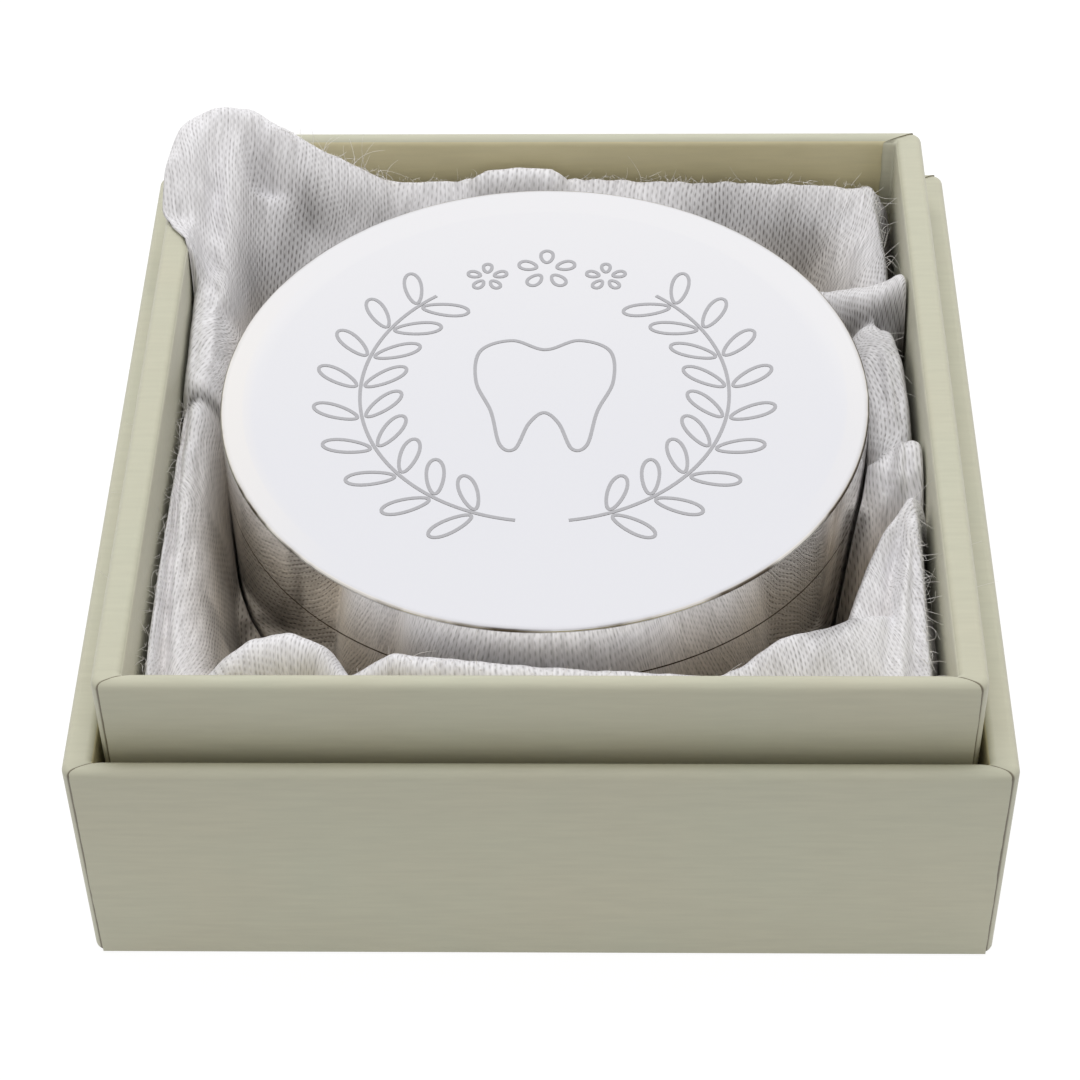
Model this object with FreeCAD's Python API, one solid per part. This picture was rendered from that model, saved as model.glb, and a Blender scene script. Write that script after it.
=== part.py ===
# Keepsake tooth box: a round plated box with a lift-off lid, bedded in satin in a card case.
# The lid of the card case is turned over as a stand, and the tray of the case stands in it.
# Millimetres, +Z up, origin at the middle of the underside of the case.

import FreeCAD
import Part
import math
import os
from FreeCAD import Vector

# Card case
case_height = 27.2
tray_height = 32.8
tray_gap = 0.5
board = 2.4
end_board = 1.2
paper = 0.2
board_corner = 1.0
board_inner_corner = 0.5
rim_round_share = 0.46
board_foot = 0.4
liner_gap = 0.4
stay_tape = 0.1
stay_leg = 12.0
stay_inset = 2.0

# Bedding in the tray
satin_room = 5.4
bed_gap = 0.6
bed_corner = 1.5
lining_card_thickness = 0.8
wadding_thickness = 1.2
wadding_edge = 0.5
wadding_inset = 2.0
satin_under_box = 0.4
well_gap = 0.4

# Round box
box_radius = 32.5
box_height = 26.6
lid_height = 7.5
metal = 0.8
foot_round = 1.2
inner_round = 0.4
seam_break = 0.06
crown_width = 3.2
crown_drop = 0.28
crown_blend = 22.0
lid_edge_round = 0.3
collar_wall = 0.6
collar_rise = 4.5
collar_lead = 0.5
lid_slip = 0.1

# Velvet inside the round box
velvet = 0.8
velvet_pad = 1.6
velvet_inset = 0.5
velvet_edge = 0.3

# Satin folds: heights above the wadding as shares of the depth to the tray's rim.
# Rows run from the left wall to the right one, and each row from the front wall to the back one.
fold_station_shares = (-1.0, -0.8, -0.55, -0.28, 0.0, 0.28, 0.55, 0.8, 1.0)
fold_height_shares = (
    (0.73, 0.76, 0.77, 0.74, 0.74, 0.77, 0.87, 1.10, 1.19),
    (0.74, 0.72, 0.58, 0.57, 0.57, 0.60, 0.71, 0.96, 1.17),
    (0.75, 0.73, 0.56, 0.55, 0.55, 0.56, 0.62, 0.72, 0.89),
    (0.82, 0.66, 0.56, 0.55, 0.55, 0.56, 0.59, 0.70, 0.84),
    (0.84, 0.63, 0.56, 0.55, 0.55, 0.56, 0.59, 0.70, 0.88),
    (0.82, 0.63, 0.56, 0.55, 0.55, 0.56, 0.59, 0.71, 0.83),
    (0.77, 0.67, 0.56, 0.55, 0.55, 0.56, 0.61, 0.71, 0.81),
    (0.72, 0.74, 0.62, 0.60, 0.60, 0.65, 0.71, 0.74, 0.81),
    (0.73, 0.78, 0.82, 0.80, 0.79, 0.80, 0.82, 0.78, 0.77),
)
flare_width = 1.5
flare_foot_share = 0.35
flare_top_share = 0.7

# Sizes that follow from those above
card_wall = board + 2 * paper
end_wall = end_board + 2 * paper
board_rim = rim_round_share * end_board
tray_inside = 2 * (box_radius + satin_room)
tray_width = tray_inside + 2 * card_wall
case_inside = tray_width + 2 * tray_gap
case_width = case_inside + 2 * card_wall
tray_depth_inside = tray_width - 2 * end_wall
case_floor_top = paper + board + paper
tray_base = case_floor_top
tray_rim = tray_base + tray_height
tray_floor_top = tray_base + paper + board
bed_width = tray_inside - 2 * bed_gap
bed_depth = tray_depth_inside - 2 * bed_gap
card_top = tray_floor_top + lining_card_thickness
wadding_top = card_top + wadding_thickness
box_base = wadding_top + satin_under_box
box_top = box_base + box_height
seam = box_top - lid_height
cup_floor = box_base + metal
collar_outer = box_radius - metal - lid_slip
collar_inner = collar_outer - collar_wall
collar_top = seam + collar_rise
lid_inner = box_radius - metal
lid_ceiling = box_top - metal
pad_top = cup_floor + velvet_pad

QUARTER_TURN = 90
FULL_TURN = 360
UP = Vector(0, 0, 1)
ORIGIN = Vector(0, 0, 0)
touch = 0.001


def rounded_wire(corners):
    """A closed wire through the corners, each a point with the radius that rounds it."""
    starts = []
    edges = []
    count = len(corners)
    for index, (point, radius) in enumerate(corners):
        to_last = (corners[index - 1][0] - point).normalize()
        to_next = (corners[(index + 1) % count][0] - point).normalize()
        half_angle = to_last.getAngle(to_next) / 2
        setback = radius / math.tan(half_angle)
        arc_start = point + to_last * setback
        arc_end = point + to_next * setback
        if radius > 0:
            inward = (to_last + to_next).normalize()
            middle = point + inward * (radius / math.sin(half_angle) - radius)
            edges.append(Part.Arc(arc_start, middle, arc_end).toShape())
        starts.append((arc_start, arc_end))
    for index in range(count):
        leave = starts[index][1]
        arrive = starts[(index + 1) % count][0]
        if leave.distanceToPoint(arrive) > touch:
            edges.append(Part.LineSegment(leave, arrive).toShape())
    return Part.Wire(Part.__sortEdges__(edges))


def turned(corners):
    """A round piece: a half profile of (radius, height, rounding) spun about the upright axis."""
    wire = rounded_wire([(Vector(r, 0, z), rounding) for r, z, rounding in corners])
    return Part.Face(wire).revolve(ORIGIN, UP, FULL_TURN)


def prism(width, depth, corner, bottom, top):
    """An upright block on the axis, with its four upright corners rounded."""
    signs = ((1, -1), (1, 1), (-1, 1), (-1, -1))
    corners = [(Vector(x * width / 2, y * depth / 2, bottom), corner) for x, y in signs]
    return Part.Face(rounded_wire(corners)).extrude(UP * (top - bottom))


def edges_at(shape, level):
    """The edges of a shape that lie flat at one level."""
    return [
        edge for edge in shape.Edges
        if abs(edge.BoundBox.ZMin - level) < touch and abs(edge.BoundBox.ZMax - level) < touch
    ]


def open_box(width, base, top, side, end, floor, grow):
    """A folded card box: floor, thick side walls and thin end walls, with rim, corners and foot rounded.

    The roundings are the board's own, larger by grow on the outside and smaller by it inside,
    so that a box grown by the paper's thickness lies evenly over the board."""
    inside = prism(width - 2 * side, width - 2 * end, board_inner_corner - grow, base + floor, top)
    box = prism(width, width, board_corner + grow, base, top).cut(inside)
    box = box.makeFillet(board_rim + grow, edges_at(box, top))
    return box.makeFillet(board_foot + grow, edges_at(box, base))


def folded_board(width, base, height):
    """The greyboard of one box of the case, under its paper."""
    return open_box(width - 2 * paper, base + paper, base + height - paper, board, end_board, board, 0)


def corner_stays(width, base, height):
    """Four strips of tape that hold the upright corners of a folded board together."""
    bottom = base + paper + stay_inset
    top = base + height - paper - board_rim - stay_inset
    board_width = width - 2 * paper
    taped_width = board_width + 2 * stay_tape
    outside = prism(taped_width, taped_width, board_corner + stay_tape, bottom, top)
    ring = outside.cut(prism(board_width, board_width, board_corner, bottom, top))
    corner = Vector(width / 2 - stay_leg, width / 2 - stay_leg, bottom)
    blocks = []
    for turn in range(4):
        block = Part.makeBox(stay_leg, stay_leg, top - bottom, corner)
        block.rotate(ORIGIN, UP, turn * QUARTER_TURN)
        blocks.append(block)
    return Part.makeCompound([ring.common(block).Solids[0] for block in blocks])


def paper_wrap(width, base, height):
    """The covering paper of one box: underside, walls, over the rim and down the inside."""
    wrap = open_box(width, base, base + height, card_wall, end_wall, board + paper, paper)
    wrap = wrap.cut(folded_board(width, base, height))
    return wrap.cut(corner_stays(width, base, height)).Solids[0]


def case_liner():
    """The sheet of paper glued on the floor of the case."""
    width = case_inside - 2 * liner_gap
    depth = case_width - 2 * end_wall - 2 * liner_gap
    return prism(width, depth, board_inner_corner, paper + board, case_floor_top)


def lining_card():
    """The card that carries the bedding on the tray's floor."""
    return prism(bed_width, bed_depth, bed_corner, tray_floor_top, card_top)


def wadding_pad():
    """The flat pad of wadding between card and satin, its upper edge pressed round."""
    width = bed_width - 2 * wadding_inset
    depth = bed_depth - 2 * wadding_inset
    pad = prism(width, depth, bed_corner, card_top, wadding_top)
    return pad.makeFillet(wadding_edge, edges_at(pad, wadding_top))


def fold_section(across_share, height_shares):
    """One upright slice through the satin from front to back: a flat foot under a row of arched folds."""
    half = bed_depth / 2
    depth = tray_rim - wadding_top
    x = across_share * bed_width / 2
    crests = [
        Vector(x, share * half, wadding_top + height * depth)
        for share, height in zip(fold_station_shares, height_shares)
    ]
    front_foot = Vector(x, -half, wadding_top)
    back_foot = Vector(x, half, wadding_top)
    edges = [Part.LineSegment(front_foot, crests[0]).toShape()]
    for start in range(0, len(crests) - 1, 2):
        edges.append(Part.Arc(*crests[start:start + 3]).toShape())
    edges.append(Part.LineSegment(crests[-1], back_foot).toShape())
    edges.append(Part.LineSegment(back_foot, front_foot).toShape())
    return Part.Wire(edges)


def satin_lining():
    """The satin nest: folds that stand round the box, puffed at one corner, with a flared well for the box."""
    sections = [
        fold_section(share, heights)
        for share, heights in zip(fold_station_shares, fold_height_shares)
    ]
    nest = Part.makeLoft(sections, True, False)
    depth = tray_rim - wadding_top
    well_radius = box_radius + well_gap
    mouth_radius = well_radius + flare_width
    clear_top = wadding_top + 2 * depth
    well = turned([
        (0, box_base, 0),
        (well_radius, box_base, 0),
        (well_radius, wadding_top + flare_foot_share * depth, 0),
        (mouth_radius, wadding_top + flare_top_share * depth, 0),
        (mouth_radius, clear_top, 0),
        (0, clear_top, 0),
    ])
    return nest.cut(well)


def base_cup():
    """The lower half of the round box, a drawn metal cup."""
    return turned([
        (0, box_base, 0),
        (box_radius, box_base, foot_round),
        (box_radius, seam, seam_break),
        (collar_outer, seam, 0),
        (collar_outer, cup_floor, inner_round),
        (0, cup_floor, 0),
    ])


def base_collar():
    """The sleeve inside the cup that stands up to guide the lid."""
    return turned([
        (collar_inner, cup_floor, 0),
        (collar_outer, cup_floor, collar_lead),
        (collar_outer, collar_top, collar_lead),
        (collar_inner, collar_top, 0),
    ])


def base_velvet_pad():
    """The velvet pad on the floor of the cup."""
    return turned([
        (0, cup_floor, 0),
        (collar_inner, cup_floor, 0),
        (collar_inner, pad_top, 0),
        (0, pad_top, 0),
    ])


def base_velvet_band():
    """The velvet band round the inside of the collar, standing on the pad."""
    return turned([
        (collar_inner - velvet, pad_top, 0),
        (collar_inner, pad_top, 0),
        (collar_inner, collar_top - velvet_inset, 0),
        (collar_inner - velvet, collar_top - velvet_inset, velvet_edge),
    ])


def lid_shell():
    """The drawn lid: a flat plate that rolls off to a crisp edge, with a skirt that meets the cup."""
    return turned([
        (0, box_top, 0),
        (box_radius - crown_width, box_top, crown_blend),
        (box_radius, box_top - crown_drop, lid_edge_round),
        (box_radius, seam, seam_break),
        (lid_inner, seam, 0),
        (lid_inner, lid_ceiling, inner_round),
        (0, lid_ceiling, 0),
    ])


def lid_velvet():
    """The velvet disc glued inside the lid."""
    return turned([
        (0, lid_ceiling - velvet, 0),
        (lid_inner - velvet_inset, lid_ceiling - velvet, velvet_edge),
        (lid_inner - velvet_inset, lid_ceiling, 0),
        (0, lid_ceiling, 0),
    ])


def pieces():
    """Every piece of the object by name."""
    return {
        "case_board": folded_board(case_width, 0, case_height),
        "case_corner_stays": corner_stays(case_width, 0, case_height),
        "case_wrap": paper_wrap(case_width, 0, case_height),
        "case_liner": case_liner(),
        "tray_board": folded_board(tray_width, tray_base, tray_height),
        "tray_corner_stays": corner_stays(tray_width, tray_base, tray_height),
        "tray_wrap": paper_wrap(tray_width, tray_base, tray_height),
        "lining_card": lining_card(),
        "wadding_pad": wadding_pad(),
        "satin_lining": satin_lining(),
        "base_cup": base_cup(),
        "base_collar": base_collar(),
        "base_velvet_pad": base_velvet_pad(),
        "base_velvet_band": base_velvet_band(),
        "lid_shell": lid_shell(),
        "lid_velvet": lid_velvet(),
    }


def main():
    os.makedirs("parts", exist_ok=True)
    for name, shape in pieces().items():
        shape.exportStep(os.path.join("parts", name + ".step"))
        box = shape.BoundBox
        print(name, len(shape.Solids), shape.isValid(), round(shape.Volume, 2),
              [round(v, 2) for v in (box.XMin, box.YMin, box.ZMin, box.XMax, box.YMax, box.ZMax)])


main()
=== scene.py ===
import math

import bpy
import numpy as np
from mathutils import Matrix, Vector


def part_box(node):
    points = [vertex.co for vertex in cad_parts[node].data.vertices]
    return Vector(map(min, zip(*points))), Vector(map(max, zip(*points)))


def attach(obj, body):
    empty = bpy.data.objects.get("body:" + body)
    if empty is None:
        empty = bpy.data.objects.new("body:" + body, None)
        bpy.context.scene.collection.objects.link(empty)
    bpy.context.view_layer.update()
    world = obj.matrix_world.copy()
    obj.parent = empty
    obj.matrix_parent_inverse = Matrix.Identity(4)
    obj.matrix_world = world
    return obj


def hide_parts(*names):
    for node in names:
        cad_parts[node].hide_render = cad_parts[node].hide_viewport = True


# Looks of a silver-plated tooth box in its satin-lined card case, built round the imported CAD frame.
# Lengths here are millimetres; meshes, textures and the frame are in metres.
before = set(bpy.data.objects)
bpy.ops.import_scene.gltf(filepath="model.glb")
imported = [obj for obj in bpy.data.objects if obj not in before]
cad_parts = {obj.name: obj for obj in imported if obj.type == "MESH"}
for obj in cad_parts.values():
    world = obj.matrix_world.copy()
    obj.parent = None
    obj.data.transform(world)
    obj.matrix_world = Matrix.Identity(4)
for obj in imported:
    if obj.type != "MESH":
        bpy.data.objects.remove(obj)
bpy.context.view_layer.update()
scene = bpy.context.scene
MM = 0.001

# Sizes read from the frame
lid_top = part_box("lid_shell")[1].z / MM
box_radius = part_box("lid_shell")[1].x / MM
box_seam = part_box("lid_shell")[0].z / MM
tray_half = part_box("tray_wrap")[1].x / MM
tray_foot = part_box("tray_wrap")[0].z / MM
tray_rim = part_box("tray_wrap")[1].z / MM
case_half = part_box("case_wrap")[1].x / MM
case_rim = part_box("case_wrap")[1].z / MM
bed_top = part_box("wadding_pad")[1].z / MM

# Sizes of the card and paper
side_wall = 2.8
end_wall = 1.6
rim_round = 0.75
panel_paper = 0.12
panel_side_gap = 0.8
panel_foot_gap = 0.3
panel_mitre = 4.2
mitre_curve = 1.6
panel_wander = 0.05
wander_span = 9
panel_turn_in = 9.0
turn_in_edge = 0.1
# Place, widths and strengths of the painted shadow line along the laps at the corners
lap_rise = 0.42
lap_shadow_width = 0.4
lap_shadow_core = 0.2
corner_lap_shadow_share = 0.85
back_lap_shadow_share = 0.3

# Points of an end wall's paper: up the wall, round each half of the rim, down the inside, and across
wall_steps = 24
rim_steps = 9
turn_in_steps = 12
width_steps = 61

# Sizes of the painted dark reflection line at the lid's edge and of the painted shadow, with tarnish, in the
# seam on the silver
edge_line_foot = 0.66
edge_line_top = 0.22
edge_line_fade = 0.12
seam_line = 0.14
seam_core_share = 0.5

# Sizes of the satin
well_gap = 0.2
edge_round = 1.0
edge_bend_share = 0.999
wall_gap = 0.3
wall_sharpness = 16
rim_overhang = 0.6
rim_sharpness = 9
rim_clearance = 0.05
rim_margin = 0.5
bed_clearance = 0.06
bed_start = 0.5
bed_margin = 0.3
cloth = 0.14
place_passes = 12
gap_floor = 15.0
fold_drop = 2.0
fold_blend = 0.18
crumple_rise = 0.1
crumple_length = 2.4
crumple_stretch_share = 0.5
crumple_waves = 24
wave_length_shares = (0.6, 1.8)
tuck_fall = 2.0
tuck_foot = 25.0
# Heights between which painted shade deepens on the cloth beside the box, and its share below them
deep_foot = 15.0
deep_top = 19.0
deep_shade_share = 0.4

# Directions, in degrees, between which the satin rises over the rim at the puffed corner, and goes back
puff_start = (125.0, 129.5)
puff_end = (147.0, 151.0)
puff_least_share = 0.01

# Points of the satin: in a turn, across the floor, up the side, out over the folds and down behind them
turn_steps = 600
floor_steps = 4
side_steps = 8
ring_steps = 52
tuck_steps = 10
first_ring = floor_steps + side_steps

# Sizes of the loose threads
thread_radius = 0.026
thread_taper_share = 0.5
thread_steps = 7
thread_sides = 3
thread_crosswise = (0.3, 0.2, 1.0)
length_spread = 2.0
root_scatter = 0.15
outward_pull = 80.0

# Shares of scatter, rise and droop in the directions in which the threads lean and bend
lean_scatter_share = 0.8
lean_rise_share = 0.3
bend_scatter_share = 0.5
bend_droop_share = 0.3

# Sizes of the engraving
line_width = 0.36
engraved_rise = 0.012
engraved_depth = 0.03
sprig_radius = 18.5
sprig_leaves = 9
leaf_length = 4.8
leaf_width = 1.7
leaf_gap_share = 1.6
leaf_tip_share = 0.2
flower_petals = 5
petal_reach_share = 0.72
petal_length_share = 0.66
petal_width_share = 0.44

# Spans of a sprig's stem and of its leaves, in degrees from the right, and a leaf's lean in radians
stem_span = (-82, 52)
leaf_span = (-70, 44)
leaf_lean = 0.95

# Points of the engraved lines
stem_steps = 60
leaf_steps = 33
loop_steps = 12

# Sizes of the patterns in the materials
paper_streak = 0.5
streak_squeeze_share = 0.1
paper_cloud = 14.0
paper_relief = 0.03
cut_fibre = 0.4
wiping_haze = 9.0
engraved_pit = 0.15
velvet_pile = 0.3
velvet_nap = 7.0
velvet_relief = 0.15
float_pitch = 0.46
float_length = 0.9
float_step_share = 0.41
float_relief = 0.08
weave_drift = 5.0
weave_sway_share = 1.8
filament_width = 0.26
filament_squeeze_share = 0.08
# Heights between which painted warm shade tints the satin
warm_shade_top = 29.0
warm_shade_foot = 22.0
yarn_patch = 1.5
board_grain = 0.6
tape_grain = 0.5
card_grain = 0.8
wadding_grain = 1.2
board_relief = 0.05

# Sizes of the stage
ground_reach = 4000.0
ground_gap = 0.02
lamp_width = 500.0
lamp_depth = 340.0
lamp_place = (-30.0, 340.0, 850.0)
camera_aim = (-0.34, -13.94, 27.25)
camera_distance = 285.0
camera_sensor = 36.0
camera_lens = 96.3
camera_nearest = 10.0

# Pitch, yaw and roll of the camera, in degrees
camera_angles = (45.44, -1.59, -1.09)

# Seeds of the random draws
case_paper_seed = 5
tray_paper_seed = 9
crumple_seed = 4
fray_seed = 11


# Helpers

def linear(hex_colour):
    """An sRGB hex colour as linear red, green, blue and a full alpha."""
    channels = [int(hex_colour[i:i + 2], 16) / 255 for i in (1, 3, 5)]
    return tuple(c / 12.92 if c <= 0.04045 else ((c + 0.055) / 1.055) ** 2.4 for c in channels) + (1.0,)


def add_node(tree, kind, inputs=None, **settings):
    """Adds a node with its settings; an input is a value, or another node's output to link."""
    made = tree.nodes.new(kind)
    for name, value in settings.items():
        setattr(made, name, value)
    for name, value in (inputs or {}).items():
        if isinstance(value, bpy.types.NodeSocket):
            tree.links.new(value, made.inputs[name])
        else:
            made.inputs[name].default_value = value
    return made


def new_material(name, constants=None):
    """A material with its tree and its shader, whose constant sockets are set."""
    material = bpy.data.materials.new(name)
    material.use_nodes = True
    shader = material.node_tree.nodes["Principled BSDF"]
    for socket, value in (constants or {}).items():
        shader.inputs[socket].default_value = value
    return material, material.node_tree, shader


def per_mm(size):
    """A texture scale that gives features of a size in millimetres, on coordinates in metres."""
    return 1 / (size * MM)


def make_piece(name, points, faces, materials, body, uv=None, unshaded=None):
    """A smooth mesh object from arrays of points and faces, riding on a CAD body."""
    mesh = bpy.data.meshes.new(name)
    mesh.from_pydata((points.reshape(-1, 3) * MM).tolist(), [], faces.tolist())
    mesh.polygons.foreach_set("use_smooth", np.ones(len(mesh.polygons), bool))
    if uv is not None:
        corners = np.empty(len(mesh.loops), np.int32)
        mesh.loops.foreach_get("vertex_index", corners)
        layer = mesh.uv_layers.new(name="cloth")
        layer.data.foreach_set("uv", (uv.reshape(-1, 2)[corners] * MM).astype(np.float32).ravel())
    # The share of light left by painted shade, when given, is kept as an attribute of the mesh
    if unshaded is not None:
        layer = mesh.attributes.new("unshaded", "FLOAT", "POINT")
        layer.data.foreach_set("value", unshaded.astype(np.float32).ravel())
    for material in materials:
        mesh.materials.append(material)
    mesh.update()
    piece = bpy.data.objects.new(name, mesh)
    scene.collection.objects.link(piece)
    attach(piece, body)
    return piece


def thicken(piece, thickness, rim_material=0):
    """Gives a surface its thickness, behind its face, with a crisp rim in another of its materials."""
    mesh = piece.data
    sides = np.empty(len(mesh.loops), np.int32)
    mesh.loops.foreach_get("edge_index", sides)
    rim = np.bincount(sides, minlength=len(mesh.edges)) == 1
    mesh.attributes.new("sharp_edge", "BOOLEAN", "EDGE").data.foreach_set("value", rim)
    shell = piece.modifiers.new("thickness", "SOLIDIFY")
    shell.thickness = thickness * MM
    shell.offset = -1
    shell.material_offset_rim = rim_material


def grid_faces(rows, columns, closed=False):
    """Quads of a grid of points, row by row; a closed grid joins its last row to its first."""
    index = np.arange(rows * columns).reshape(rows, columns)
    if closed:
        index = np.concatenate([index, index[:1]])
    return np.stack([index[:-1, :-1], index[:-1, 1:], index[1:, 1:], index[1:, :-1]], -1).reshape(-1, 4)


def ease(start, end, value):
    """A smooth step from 0 at start to 1 at end."""
    share = np.clip((value - start) / (end - start), 0, 1)
    return share * share * (3 - 2 * share)


def unit(vectors):
    """Vectors along the last axis, brought to a length of one."""
    return vectors / np.linalg.norm(vectors, axis=-1, keepdims=True)


# Materials

def turned_in(tree, spread, axis, inner_half):
    """1 for places within an inner half width along an axis, and 0 past it."""
    return add_node(tree, "ShaderNodeMath", {
        0: spread.outputs[axis], 1: (inner_half + turn_in_edge) * MM}, operation="LESS_THAN").outputs[0]


def lap_shadow(tree, axes, spread, within_ends, half, shade_share):
    """How much painted shadow lies along the lap of the paper at the corners of a box of the given half
    width.

    It is a painted shadow line up each end wall, beside the corner, which curves in over the rim as the end
    papers' mitres do. It stops inside the end walls, and pales towards the back, where the laps are pressed
    flatter."""
    over = add_node(tree, "ShaderNodeMapRange", {
        "Value": spread.outputs["Y"], "From Min": half * MM, "From Max": (half - end_wall) * MM})
    over = add_node(tree, "ShaderNodeMath", {0: over.outputs["Result"], 1: mitre_curve}, operation="POWER")
    mitre = add_node(tree, "ShaderNodeMapRange", {
        "Value": over.outputs[0], "To Min": (half - panel_side_gap) * MM,
        "To Max": (half - panel_mitre + lap_rise) * MM})
    beside = add_node(tree, "ShaderNodeMath", {
        0: spread.outputs["X"], 1: mitre.outputs["Result"]}, operation="SUBTRACT")
    beside = add_node(tree, "ShaderNodeMath", {0: beside.outputs[0]}, operation="ABSOLUTE")
    line = add_node(tree, "ShaderNodeMapRange", {
        "Value": beside.outputs[0], "From Min": lap_shadow_width * MM, "From Max": lap_shadow_core * MM,
        "To Max": shade_share})
    past_ends = add_node(tree, "ShaderNodeMath", {0: 1.0, 1: within_ends}, operation="SUBTRACT")
    line = add_node(tree, "ShaderNodeMath", {
        0: line.outputs["Result"], 1: past_ends.outputs[0]}, operation="MULTIPLY")
    pressed = add_node(tree, "ShaderNodeMapRange", {
        "Value": axes.outputs["Y"], "From Min": 0.0, "From Max": half * MM,
        "To Min": 1.0, "To Max": back_lap_shadow_share})
    return add_node(tree, "ShaderNodeMath", {
        0: line.outputs[0], 1: pressed.outputs["Result"]}, operation="MULTIPLY").outputs[0]


def cover_paper(name, half, inside_shade_colour, lap_shadow_share=0.0):
    """Wood-pulp covering paper, calendered: an eggshell face with faint fibre streaks along the case.

    Inside the box of the given half width, where it is turned in, it has a paler, warmer colour of its own,
    as painted light for the warm light bounced between the walls. The lap at the corners is a painted shadow
    line, and the face is painted lighter towards the foot and darker towards the rim, as painted
    floor-bounce light."""
    material, tree, shader = new_material(name, {"Roughness": 0.45, "Specular IOR Level": 0.8})
    place = add_node(tree, "ShaderNodeTexCoord").outputs["Object"]
    axes = add_node(tree, "ShaderNodeSeparateXYZ", {"Vector": place})
    spread = add_node(tree, "ShaderNodeVectorMath", {0: place}, operation="ABSOLUTE")
    spread = add_node(tree, "ShaderNodeSeparateXYZ", {"Vector": spread.outputs["Vector"]})
    along = add_node(tree, "ShaderNodeMapping", {"Vector": place, "Scale": (streak_squeeze_share, 1, 1)})
    streak = add_node(tree, "ShaderNodeTexNoise", {
        "Vector": along.outputs["Vector"], "Scale": per_mm(paper_streak), "Detail": 3.0})
    cloud = add_node(tree, "ShaderNodeTexNoise", {
        "Vector": place, "Scale": per_mm(paper_cloud), "Detail": 2.0})
    face = add_node(tree, "ShaderNodeMix", {
        0: cloud.outputs["Fac"], 6: linear("#C2C4B0"), 7: linear("#C6C2AD")}, data_type="RGBA")
    within_sides = turned_in(tree, spread, "X", half - side_wall)
    within_ends = turned_in(tree, spread, "Y", half - end_wall)
    inside = add_node(tree, "ShaderNodeMath", {0: within_sides, 1: within_ends}, operation="MULTIPLY")
    # painted light: inside the walls the paper takes a paler, warmer colour of its own, for the warm light
    # bounced between them
    tone = add_node(tree, "ShaderNodeMix", {
        0: inside.outputs[0], 6: face.outputs[2], 7: linear(inside_shade_colour)}, data_type="RGBA")
    lap_shadow_mask = lap_shadow(tree, axes, spread, within_ends, half, lap_shadow_share)
    # painted shadow: a dark brown line along the laps at the corners
    tone = add_node(tree, "ShaderNodeMix", {
        0: lap_shadow_mask, 6: tone.outputs[2], 7: linear("#52452A")}, data_type="RGBA")
    fibre = add_node(tree, "ShaderNodeMapRange", {
        "Value": streak.outputs["Fac"], "From Min": 0.3, "From Max": 0.7, "To Min": 0.965, "To Max": 1.03})
    # painted floor-bounce light and shade: lighter towards the foot, darker towards the rim
    floor_bounce_tone = add_node(tree, "ShaderNodeMapRange", {
        "Value": axes.outputs["Z"], "From Max": case_rim * MM, "To Min": 1.05, "To Max": 0.9})
    fibre_and_bounce = add_node(tree, "ShaderNodeMath", {
        0: fibre.outputs["Result"], 1: floor_bounce_tone.outputs["Result"]}, operation="MULTIPLY")
    shaded = add_node(tree, "ShaderNodeVectorMath", {
        0: tone.outputs[2], 1: fibre_and_bounce.outputs[0]}, operation="MULTIPLY")
    tree.links.new(shaded.outputs["Vector"], shader.inputs["Base Color"])
    bump = add_node(tree, "ShaderNodeBump", {
        "Height": streak.outputs["Fac"], "Strength": 0.35, "Distance": paper_relief * MM})
    tree.links.new(bump.outputs["Normal"], shader.inputs["Normal"])
    return material


def paper_core():
    """The cut edge of the covering paper: matt pulp, coloured dark as painted shadow along the paper's
    edges, and darkened by glue and dust.
    """
    material, tree, shader = new_material("wood_pulp_paper_cut_edge", {"Roughness": 0.85})
    place = add_node(tree, "ShaderNodeTexCoord").outputs["Object"]
    fibre = add_node(tree, "ShaderNodeTexNoise", {
        "Vector": place, "Scale": per_mm(cut_fibre), "Detail": 2.0})
    # painted shadow, partly glue and dust: the cut edge is dark brown so that it reads as a shadow line
    # beside the paper's edge
    tone = add_node(tree, "ShaderNodeMix", {
        0: fibre.outputs["Fac"], 6: linear("#6E6752"), 7: linear("#8A8168")}, data_type="RGBA")
    tree.links.new(tone.outputs[2], shader.inputs["Base Color"])
    return material


def edge_dark_reflection(tree, axes, haze):
    """How much painted dark reflection lies in a ring just below the lid's top: full between two heights, in
    patches.
    """
    below = add_node(tree, "ShaderNodeMapRange", {
        "Value": axes.outputs["Z"], "From Min": (lid_top - edge_line_foot) * MM,
        "From Max": (lid_top - edge_line_foot + edge_line_fade) * MM}, interpolation_type="SMOOTHSTEP")
    above = add_node(tree, "ShaderNodeMapRange", {
        "Value": axes.outputs["Z"], "From Min": (lid_top - edge_line_top) * MM,
        "From Max": (lid_top - edge_line_top - edge_line_fade) * MM}, interpolation_type="SMOOTHSTEP")
    reflection_patches = add_node(tree, "ShaderNodeMapRange", {
        "Value": haze.outputs["Fac"], "From Min": 0.42, "From Max": 0.56, "To Min": 0.35, "To Max": 0.95})
    ring = add_node(tree, "ShaderNodeMath", {
        0: below.outputs["Result"], 1: above.outputs["Result"]}, operation="MULTIPLY")
    return add_node(tree, "ShaderNodeMath", {
        0: ring.outputs[0], 1: reflection_patches.outputs["Result"]}, operation="MULTIPLY").outputs[0]


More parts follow.
